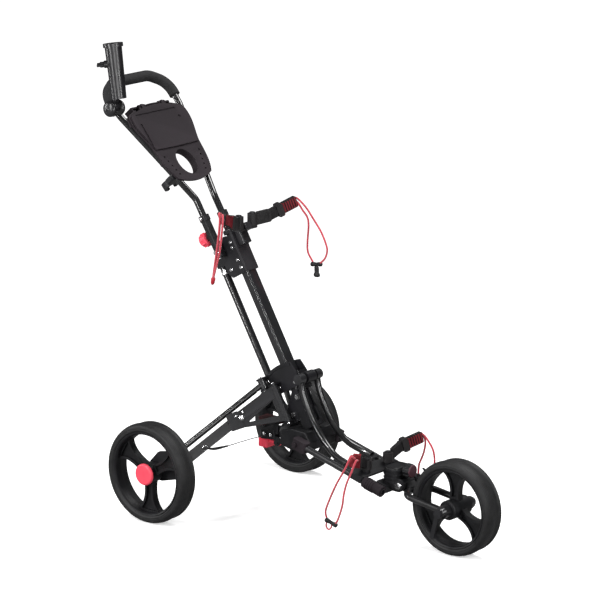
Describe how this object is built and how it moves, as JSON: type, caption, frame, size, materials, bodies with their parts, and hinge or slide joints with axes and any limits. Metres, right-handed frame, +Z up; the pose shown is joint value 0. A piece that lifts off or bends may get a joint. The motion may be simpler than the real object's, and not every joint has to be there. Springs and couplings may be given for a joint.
{
  "type": "golf push trolley",
  "caption": "Folding three-wheel golf push trolley with console handle, umbrella holder, bag cradles and foot brake.",
  "frame": {"origin": "on the ground at the centre of the outer box", "axes": "+X forward to the front wheel, +Y to the trolley's left, +Z up"},
  "size_m": [1.1213, 0.5996, 1.098],
  "materials": {
    "gloss_black": "gloss black powder-coated tube",
    "black_plastic": "black moulded nylon",
    "grey_plastic": "dark grey textured plastic",
    "red_plastic": "red moulded plastic",
    "red_cord": "braided elastic cord",
    "foam": "ribbed foam grip",
    "tyre": "solid foam rubber tread",
    "zinc": "zinc plated fasteners",
    "arm_plastic": "black arm with dark red rubber ribs"
  },
  "bodies": {
    "spine": {"main_tube": "gloss_black", "main_tube_sleeve": "black_plastic", "top_cap": "grey_plastic", "rear_brace_tube": "gloss_black", "brace_end_blocks": "black_plastic", "upper_plates": "gloss_black", "lower_plates": "gloss_black", "frame_fasteners": "zinc", "pivot_pins": "zinc", "fold_bracket": "gloss_black", "lower_housing": "black_plastic", "brake_body": "black_plastic", "upper_cradle": "grey_plastic"},
    "brake_pedal_lever": {"brake_pedal": "red_plastic"},
    "brake_release_lever": {"brake_release": "red_plastic"},
    "handle": {"handle_tube": "gloss_black", "handle_grip": "foam", "handle_sockets": "black_plastic", "console_tray": "grey_plastic", "frame_clip": "black_plastic", "umbrella_clamp": "black_plastic"},
    "handle_lock": {"handle_knob": "red_plastic"},
    "lid": {"console_lid": "grey_plastic"},
    "umbrella": {"umbrella_holder": "grey_plastic"},
    "umbrella_wing": {"umbrella_screw": "black_plastic"},
    "upper_right": {"upper_arm_right": "arm_plastic", "upper_cord_right": "red_cord"},
    "upper_left": {"upper_arm_left": "arm_plastic", "upper_cord_left": "red_cord"},
    "front_frame": {"curved_tubes": "gloss_black", "lower_rails": "gloss_black", "rail_fittings": "grey_plastic", "front_housing": "black_plastic", "fork_pin": "zinc", "lower_cradle": "black_plastic"},
    "tracking_knob": {"front_knob": "black_plastic"},
    "lower_right": {"lower_arm_right": "arm_plastic", "lower_cord_right": "red_cord"},
    "lower_left": {"lower_arm_left": "arm_plastic", "lower_cord_left": "red_cord"},
    "fork_body": {"fork": "gloss_black", "front_axle_bolt": "zinc"},
    "release_lever": {"quick_release_lever": "black_plastic"},
    "front_wheel": {"front_rim": "black_plastic", "front_tyre": "tyre", "front_bearings": "zinc"},
    "leg_right": {"leg_bracket_right": "black_plastic", "leg_strut_right": "gloss_black"},
    "link_right": {"thin_strut_right": "gloss_black"},
    "carrier_right": {"wheel_carrier_right": "black_plastic"},
    "wheel_right": {"rear_rim_right": "black_plastic", "rear_tyre_right": "tyre", "hub_cap_right": "red_plastic"},
    "leg_left": {"leg_bracket_left": "black_plastic", "leg_strut_left": "gloss_black"},
    "link_left": {"thin_strut_left": "gloss_black"},
    "carrier_left": {"wheel_carrier_left": "black_plastic"},
    "wheel_left": {"rear_rim_left": "black_plastic", "rear_tyre_left": "tyre", "hub_cap_left": "red_plastic"}
  },
  "joints": [
    {"name": "front_fold", "type": "hinge", "parent": "spine", "child": "front_frame", "pos_m": [0.0102, 0, 0.343], "axis": [0, -1, 0], "range_deg": [0, 115]},
    {"name": "fork_fold", "type": "hinge", "parent": "front_frame", "child": "fork_body", "pos_m": [0.3032, 0, 0.14], "axis": [0, 1, 0], "range_deg": [0, 75]},
    {"name": "front_wheel_spin", "type": "hinge", "parent": "fork_body", "child": "front_wheel", "pos_m": [0.4487, 0, 0.111], "axis": [0, 1, 0], "continuous": true},
    {"name": "release_lever_turn", "type": "hinge", "parent": "fork_body", "child": "release_lever", "pos_m": [0.4487, -0.063, 0.111], "axis": [0, -1, 0], "range_deg": [0, 60]},
    {"name": "tracking_knob_turn", "type": "hinge", "parent": "front_frame", "child": "tracking_knob", "pos_m": [0.3022, 0, 0.172], "axis": [1, 0, 0], "range_deg": [0, 180]},
    {"name": "handle_fold", "type": "hinge", "parent": "spine", "child": "handle", "pos_m": [-0.2374, 0, 0.611], "axis": [0, -1, 0], "range_deg": [0, 100]},
    {"name": "handle_knob_turn", "type": "hinge", "parent": "handle", "child": "handle_lock", "pos_m": [-0.25966, -0.033, 0.64662], "axis": [-0.848, 0, -0.5299], "range_deg": [0, 180]},
    {"name": "lid_open", "type": "hinge", "parent": "handle", "child": "lid", "pos_m": [-0.48263, 0, 0.93174], "axis": [0, -1, 0], "range_deg": [0, 90]},
    {"name": "umbrella_tilt", "type": "hinge", "parent": "handle", "child": "umbrella", "pos_m": [-0.4858, -0.128, 0.945], "axis": [0, 1, 0], "range_deg": [0, 35]},
    {"name": "wing_screw_turn", "type": "hinge", "parent": "umbrella", "child": "umbrella_wing", "pos_m": [-0.48681, -0.121, 1.04616], "axis": [-0.7513, -0.6511, -0.1082], "range_deg": [0, 180]},
    {"name": "upper_arm_right_swing", "type": "hinge", "parent": "spine", "child": "upper_right", "pos_m": [-0.1848, -0.025, 0.688], "axis": [0, 0, 1], "range_deg": [0, 40]},
    {"name": "upper_arm_left_swing", "type": "hinge", "parent": "spine", "child": "upper_left", "pos_m": [-0.1848, 0.025, 0.688], "axis": [0, 0, -1], "range_deg": [0, 40]},
    {"name": "lower_arm_right_swing", "type": "hinge", "parent": "front_frame", "child": "lower_right", "pos_m": [0.21844, -0.04, 0.17739], "axis": [0, 0, 1], "range_deg": [0, 40]},
    {"name": "lower_arm_left_swing", "type": "hinge", "parent": "front_frame", "child": "lower_left", "pos_m": [0.21844, 0.04, 0.17739], "axis": [0, 0, -1], "range_deg": [0, 40]},
    {"name": "brake_pedal_press", "type": "hinge", "parent": "spine", "child": "brake_pedal_lever", "pos_m": [-0.0668, 0, 0.169], "axis": [0, -1, 0], "range_deg": [0, 20]},
    {"name": "brake_release_press", "type": "hinge", "parent": "spine", "child": "brake_release_lever", "pos_m": [-0.0718, 0, 0.219], "axis": [0, -1, 0], "range_deg": [0, 6]},
    {"name": "leg_right_fold", "type": "hinge", "parent": "spine", "child": "leg_right", "pos_m": [-0.0629, -0.036, 0.3057], "axis": [0.506, 0, -0.8625], "range_deg": [0, 35.2]},
    {"name": "link_right_fold", "type": "hinge", "parent": "spine", "child": "link_right", "pos_m": [-0.09984, -0.036, 0.31116], "axis": [0.506, 0, -0.8625], "range_deg": [0, 35.2]},
    {"name": "carrier_right_turn", "type": "hinge", "parent": "leg_right", "child": "carrier_right", "pos_m": [-0.1879, -0.236, 0.1387], "axis": [-0.506, 0, 0.8625], "range_deg": [0, 35.2]},
    {"name": "rear_right_wheel_spin", "type": "hinge", "parent": "carrier_right", "child": "wheel_right", "pos_m": [-0.2448, -0.2708, 0.12], "axis": [0, 1, 0], "continuous": true},
    {"name": "leg_left_fold", "type": "hinge", "parent": "spine", "child": "leg_left", "pos_m": [-0.0629, 0.036, 0.3057], "axis": [-0.506, 0, 0.8625], "range_deg": [0, 35.2]},
    {"name": "link_left_fold", "type": "hinge", "parent": "spine", "child": "link_left", "pos_m": [-0.09984, 0.036, 0.31116], "axis": [-0.506, 0, 0.8625], "range_deg": [0, 35.2]},
    {"name": "carrier_left_turn", "type": "hinge", "parent": "leg_left", "child": "carrier_left", "pos_m": [-0.1879, 0.236, 0.1387], "axis": [0.506, 0, -0.8625], "range_deg": [0, 35.2]},
    {"name": "rear_left_wheel_spin", "type": "hinge", "parent": "carrier_left", "child": "wheel_left", "pos_m": [-0.2448, 0.2708, 0.12], "axis": [0, 1, 0], "continuous": true}
  ],
  "couplings": [
    {"joint": "leg_right_fold", "follows": "front_fold", "ratio": 0.30435},
    {"joint": "link_right_fold", "follows": "front_fold", "ratio": 0.30435},
    {"joint": "carrier_right_turn", "follows": "front_fold", "ratio": 0.30435},
    {"joint": "leg_left_fold", "follows": "front_fold", "ratio": 0.30435},
    {"joint": "link_left_fold", "follows": "front_fold", "ratio": 0.30435},
    {"joint": "carrier_left_turn", "follows": "front_fold", "ratio": 0.30435}
  ]
}
